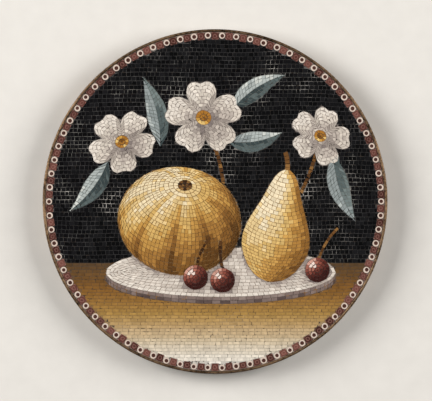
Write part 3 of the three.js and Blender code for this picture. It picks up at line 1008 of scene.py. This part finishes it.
# Ground
# Long tesserae in level courses, dark brown at the horizon and paler down to ivory at the foot, with one melt
# of glass to a course. Their ends often stand one above another.
PICTURE_RADIUS = CANE_CIRCLE - CANE_RADIUS
HORIZON = -10.7
GROUND_COURSE = 0.56
GROUND_TESSERA = 1.3
PALE_TESSERA = 1.05  # in the palest courses
PALE_SHARE = 0.62  # of the way down, where those begin
GROUND_WAVE = 0.06  # how far a course wavers
GROUND_SWELL = (6, 2)  # from wave to wave, along the courses and across them
GROUND_SLICE = 3  # of the noise that makes them
GROUND_STEP = 0.12  # how far each of three courses is set along from the last
GROUND_SHIFT = 0.1  # and how far it strays from there
GROUND_SPREAD = 0.1  # how far the tesserae of a course differ in brightness
GROUND_STEPS = 60  # of the field's outline
GROUND_WAX = 0.62  # how bright the wax is beside the glass it matches
GROUND_MELTS = [
    (0.0, "#523F2B"),
    (0.1, "#64492B"),
    (0.24, "#7C5628"),
    (0.4, "#966F38"),
    (0.52, "#A88549"),
    (0.64, "#BFA276"),
    (0.76, "#CDBB9D"),
    (0.88, "#DCD2C1"),
    (1.0, "#F0EBE2"),
]


def ground_melt(share):
    """The glass for a course, by its share of the way from the horizon to the foot."""
    for (above, dark), (below, pale) in zip(GROUND_MELTS, GROUND_MELTS[1:]):
        if share <= below:
            mix = (share - above) / (below - above)
            return [a + (b - a) * mix for a, b in zip(linear(dark), linear(pale))]
    return linear(GROUND_MELTS[-1][1])


def ground_wax(x, y):
    share = min(max((HORIZON - y) / (HORIZON + PICTURE_RADIUS), 0), 1)
    return toned(ground_melt(share), GROUND_WAX)


def on_ground(x, y):
    return x, y + GROUND_WAVE * noise.noise((x / GROUND_SWELL[0], y / GROUND_SWELL[1], GROUND_SLICE))


bm = bmesh.new()
depth = HORIZON + PICTURE_RADIUS
courses = round(depth / GROUND_COURSE)
for course in range(courses):
    high, low = HORIZON - depth * course / courses, HORIZON - depth * (course + 1) / courses
    half = math.sqrt(max(PICTURE_RADIUS**2 - max(abs(low), abs(high)) ** 2, 0)) + GROUND_TESSERA
    melt = ground_melt((course + chance.uniform(0, 1)) / courses)

    def ground_glass(x, y):
        return toned(melt, 1 + chance.uniform(-GROUND_SPREAD, GROUND_SPREAD))

    length = PALE_TESSERA if course > PALE_SHARE * courses else GROUND_TESSERA
    shift = GROUND_STEP * (course % 3) + chance.uniform(-GROUND_SHIFT, GROUND_SHIFT)
    count = round(2 * half / length)
    start = -length * count / 2 + shift
    cuts = hand_cuts(start, start + length * count, count)
    lay_course(bm, on_ground, cuts, low, high, ground_glass)
lower_half = [on_circle(math.pi * (1 + i / GROUND_STEPS), CANE_CIRCLE) for i in range(GROUND_STEPS + 1)]
outline = [(x, min(y, HORIZON)) for x, y in lower_half]
finish_field(bm, "ground_tesserae", "smalti_ochre", outline, ground_wax, JOINT, PICTURE_RADIUS)


# Black field
# Small square tesserae of black glass in level courses that waver a little, filled in round the figures last
# of all, with hardly two of quite the same depth.
BLACK_COURSE = 0.735
BLACK_TESSERA = 0.73
BLACK_WAVE = 0.28  # how far a course wavers
BLACK_SWELL = (9, 5)  # from wave to wave, along the courses and across them
BLACK_SLICE = 8  # of the noise that makes them
BLACK_SETTLING = 2  # height in which the waves die down to the level horizon
BLACK_SHIFT = 0.3  # how far a course is set along
BLACK_WAX = "#1B1A1C"
WAX_SWELL = 3  # from one thin place in the wax to the next
WAX_SLICE = 5
BLACKS = ["#050506", "#08080A", "#0C0C0E", "#101012", "#161618"]


def on_black(x, y):
    wave = BLACK_WAVE * noise.noise((x / BLACK_SWELL[0], y / BLACK_SWELL[1], BLACK_SLICE))
    return x, y + wave * min(1, (y - HORIZON) / BLACK_SETTLING)


def black_wax(x, y):
    return toned(linear(BLACK_WAX), 1 + noise.noise((x / WAX_SWELL, y / WAX_SWELL, WAX_SLICE)))


bm = bmesh.new()
courses = math.ceil((PICTURE_RADIUS - HORIZON) / BLACK_COURSE)
for course in range(courses):
    low, high = HORIZON + BLACK_COURSE * course, HORIZON + BLACK_COURSE * (course + 1)
    nearest = 0 if low < 0 < high else min(abs(low), abs(high))
    half = math.sqrt(max(PICTURE_RADIUS**2 - nearest**2, 0)) + BLACK_TESSERA
    count = round(2 * half / BLACK_TESSERA)
    start = -BLACK_TESSERA * count / 2 + chance.uniform(-BLACK_SHIFT, BLACK_SHIFT)
    cuts = hand_cuts(start, start + BLACK_TESSERA * count, count)
    lay_course(bm, on_black, cuts, low, high, lambda *at: varied(chance.choice(BLACKS)))
outline = full_turn(on_circle, steps=96, line=CANE_CIRCLE - CANE_CORE)
finish_field(bm, "black_field_tesserae", "smalti_black", outline, black_wax, FINE_JOINT, PICTURE_RADIUS)


# Joint wax
# Once the face was ground and polished, coloured wax was rubbed into the joints, dark round black glass and
# pale round white. Where it has worn out, the pale mastic under it shows.
WAX_BELOW_FACE = 0.085
WAX_UNEVEN = 0.02  # how far its surface rises and sinks
WAX_ROUGHNESS = 0.9  # how often it does, in a millimetre
WAX_STEPS = 288
WAX_RINGS = 96
MASTIC_LIP = 0.048  # how far mastic is smeared up on to the rim, on average
WIDEST_LIP = 0.12
LIP_UNEVEN = 2.5  # how far the smear differs from that average, as a share of it
LIP_WAVES = 4  # scale of the noise that it differs by, round the rim
LIP_THICKNESS = 0.02
WAX_LOSS = 0.1  # how much of the wax has gone where it is worn
BLACK_WAX_LOSS = 0.85
PATCH_WEIGHT = 2.0  # of the large worn patches beside the small specks
COURSE_RUN = 5.0  # how much longer a worn speck is along a course than across it
WORN_PATCH = 7.0
WORN_SPECK = 0.5
# across a small dark speck in the wax, which is only darker colour, with no hollow modelled
WAX_SPECK = 0.45
WEAR_STARTS = 1.37  # as the sum of the patches' and the specks' noise
WEAR_ENDS = 2.03
WEAR_CURVE = 3.0  # how late between the two most of the wax goes
BORDER_WAX = "#33221E"
RIM_WAX = "#95867A"  # the line of bare mastic along the rim

bm = bmesh.new()
wax_radius = TRAY_RADIUS - RIM_WIDTH
wax_top = FACE - WAX_BELOW_FACE
line = [bm.verts.new((wax_radius * i / WAX_RINGS, 0, wax_top)) for i in range(WAX_RINGS + 1)]
spokes = [bm.edges.new(pair) for pair in zip(line, line[1:])]
bmesh.ops.spin(
    bm,
    geom=line + spokes,
    cent=(0, 0, 0),
    axis=(0, 0, 1),
    angle=2 * math.pi,
    steps=WAX_STEPS,
    use_merge=True,
)
bmesh.ops.remove_doubles(bm, verts=bm.verts, dist=SAME_PLACE)
bm.normal_update()
bmesh.ops.reverse_faces(bm, faces=[face for face in bm.faces if face.normal.z < 0])
lip = bmesh.ops.extrude_edge_only(bm, edges=[edge for edge in bm.edges if edge.is_boundary])["geom"]
for vert in (element for element in lip if isinstance(element, bmesh.types.BMVert)):
    outwards = Vector((vert.co.x, vert.co.y, 0)).normalized()
    smear = min(max(MASTIC_LIP * (1 + LIP_UNEVEN * noise.noise(outwards * LIP_WAVES)), 0), WIDEST_LIP)
    climb = math.sqrt(RIM_ROUNDING**2 - (RIM_ROUNDING - smear) ** 2)
    vert.co += outwards * (smear + rim_waver(outwards))
    vert.co.z = TRAY_HEIGHT - RIM_ROUNDING + climb + LIP_THICKNESS
tint = bm.verts.layers.float_color.new("tint")
spots = np.array([vert.co.xy for vert in bm.verts])
stain = np.tile(linear(RIM_WAX), (len(spots), 1))
stain[np.linalg.norm(spots, axis=1) < CANE_CIRCLE + CANE_RADIUS / 2] = linear(BORDER_WAX)
for outline, wax in reversed(laid):
    near = ((spots > outline.min(0)) & (spots < outline.max(0))).all(1)
    covered = near.copy()
    covered[near] = nearest_on(outline, spots[near])[1]
    stain[covered] = np.array([wax(x, y) for x, y in spots[covered]]).reshape(-1, 4)
    stain[covered, 3] = BLACK_WAX_LOSS if outline is laid[-1][0] else WAX_LOSS
for vert, colour in zip(bm.verts, stain):
    vert[tint] = colour
    vert.co.z += WAX_UNEVEN * noise.noise(vert.co * WAX_ROUGHNESS)
spread_for_baking(bm)

# Rubbed wax: dull and slightly greasy, with worn patches a few millimetres across that break up into specks
joint_wax, tree, surface, spot = new_finish("rubbed_joint_wax")
stained = add_node(tree, "ShaderNodeAttribute", {}, attribute_name="tint")
patches = add_node(
    tree, "ShaderNodeTexNoise", {"Vector": spot, "Scale": 1 / (WORN_PATCH * MM), "Detail": 2.0}
).outputs["Fac"]
along = add_node(tree, "ShaderNodeMapping", {"Vector": spot, "Scale": (1 / COURSE_RUN, 1, 1)})
specks = add_node(
    tree,
    "ShaderNodeTexNoise",
    {"Vector": along.outputs["Vector"], "Scale": 1 / (WORN_SPECK * MM), "Detail": 3.0},
).outputs["Fac"]
loss = add_node(
    tree, "ShaderNodeMath", {0: patches, 1: PATCH_WEIGHT, 2: specks}, operation="MULTIPLY_ADD"
).outputs["Value"]
worn = add_node(
    tree, "ShaderNodeMapRange", {"Value": loss, "From Min": WEAR_STARTS, "From Max": WEAR_ENDS}
).outputs["Result"]
fading = add_node(tree, "ShaderNodeMath", {0: worn, 1: WEAR_CURVE}, operation="POWER").outputs["Value"]
share = add_node(
    tree, "ShaderNodeMath", {0: fading, 1: stained.outputs["Alpha"]}, operation="MULTIPLY"
).outputs["Value"]
bare = add_node(
    tree,
    "ShaderNodeMix",
    {"Factor": share, "A": stained.outputs["Color"], "B": linear("#C8C4BD")},
    data_type="RGBA",
)
# Small dark specks: a fine noise darkens the wax to deep brown in spots
fine_spots = add_node(
    tree, "ShaderNodeTexNoise", {"Vector": spot, "Scale": 1 / (WAX_SPECK * MM), "Detail": 1.0}
).outputs["Fac"]
dark_specks = add_node(tree, "ShaderNodeMapRange", {"Value": fine_spots, "From Min": 0.58, "From Max": 0.68})
rubbed = add_node(
    tree,
    "ShaderNodeMix",
    {"Factor": dark_specks.outputs["Result"], "A": bare.outputs["Result"], "B": linear("#2A1F15")},
    data_type="RGBA",
)
tree.links.new(rubbed.outputs["Result"], surface.inputs["Base Color"])
surface.inputs["Roughness"].default_value = 0.75
finish_piece(bm, "joint_wax_skin", [joint_wax], "mastic")


# Table, lights and camera
# The medallion lies face up on a pale table under two broad soft lamps, one at each side, and the camera
# hangs straight above it as on a copying stand.
FLOOR_HALF = 700 * MM
PHOTO_WIDTH = 432  # pixels
RIM_PIXELS = 345.2  # the rim's diameter in the photograph
RIM_CENTRE_PIXELS = (-0.92, -1.05)  # its centre, right of and above the photograph's centre
CAMERA_HEIGHT = 500 * MM
SENSOR = 36.0
PAPER_FIBRE = 3.0
ROOM_LIGHT = 0.05
LAMPS = {  # where each hangs, in metres, and its power in watts
    "lamp_left": ((-0.42, 0.12, 0.36), 3.4),
    "lamp_right": ((0.42, 0.1, 0.36), 2.65),
}
LAMP_SIZE = (0.3, 0.4)
LAMP_COLOUR = (1.0, 0.97, 0.93)

floor_paper, tree, surface, spot = new_finish("pale_paper")
fibres = add_node(
    tree, "ShaderNodeTexNoise", {"Vector": spot, "Scale": 1 / (PAPER_FIBRE * MM), "Detail": 4.0}
)
paper = add_node(
    tree,
    "ShaderNodeMix",
    {"Factor": fibres.outputs["Fac"], "A": linear("#DAD8D4"), "B": linear("#E4E2DE")},
    data_type="RGBA",
)
tree.links.new(paper.outputs["Result"], surface.inputs["Base Color"])
surface.inputs["Roughness"].default_value = 0.9

bm = bmesh.new()
bmesh.ops.create_grid(bm, x_segments=8, y_segments=8, size=FLOOR_HALF)
mesh = bpy.data.meshes.new("table")
bm.to_mesh(mesh)
bm.free()
mesh.materials.append(floor_paper)
table = bpy.data.objects.new("table", mesh)
bpy.context.scene.collection.objects.link(table)

world = bpy.data.worlds.new("studio")
world.use_nodes = True
world.node_tree.nodes["Background"].inputs["Color"].default_value = linear("#E6E6E8")
world.node_tree.nodes["Background"].inputs["Strength"].default_value = ROOM_LIGHT
bpy.context.scene.world = world

for name, (place, power) in LAMPS.items():
    lamp = bpy.data.lights.new(name, "AREA")
    lamp.shape = "RECTANGLE"
    lamp.size, lamp.size_y = LAMP_SIZE
    lamp.energy = power
    lamp.color = LAMP_COLOUR
    stand = bpy.data.objects.new(name, lamp)
    stand.location = place
    stand.rotation_euler = (-Vector(place)).to_track_quat("-Z", "Y").to_euler()
    bpy.context.scene.collection.objects.link(stand)

pixel = 2 * TRAY_RADIUS * MM / RIM_PIXELS
lens = bpy.data.cameras.new("copy_stand")
lens.sensor_width = SENSOR
lens.lens = SENSOR * (CAMERA_HEIGHT - TRAY_HEIGHT * MM) / (PHOTO_WIDTH * pixel)
camera = bpy.data.objects.new("copy_stand", lens)
camera.location = (-RIM_CENTRE_PIXELS[0] * pixel, -RIM_CENTRE_PIXELS[1] * pixel, CAMERA_HEIGHT)
bpy.context.scene.collection.objects.link(camera)
bpy.context.scene.camera = camera
bpy.context.scene.view_settings.view_transform = "Standard"
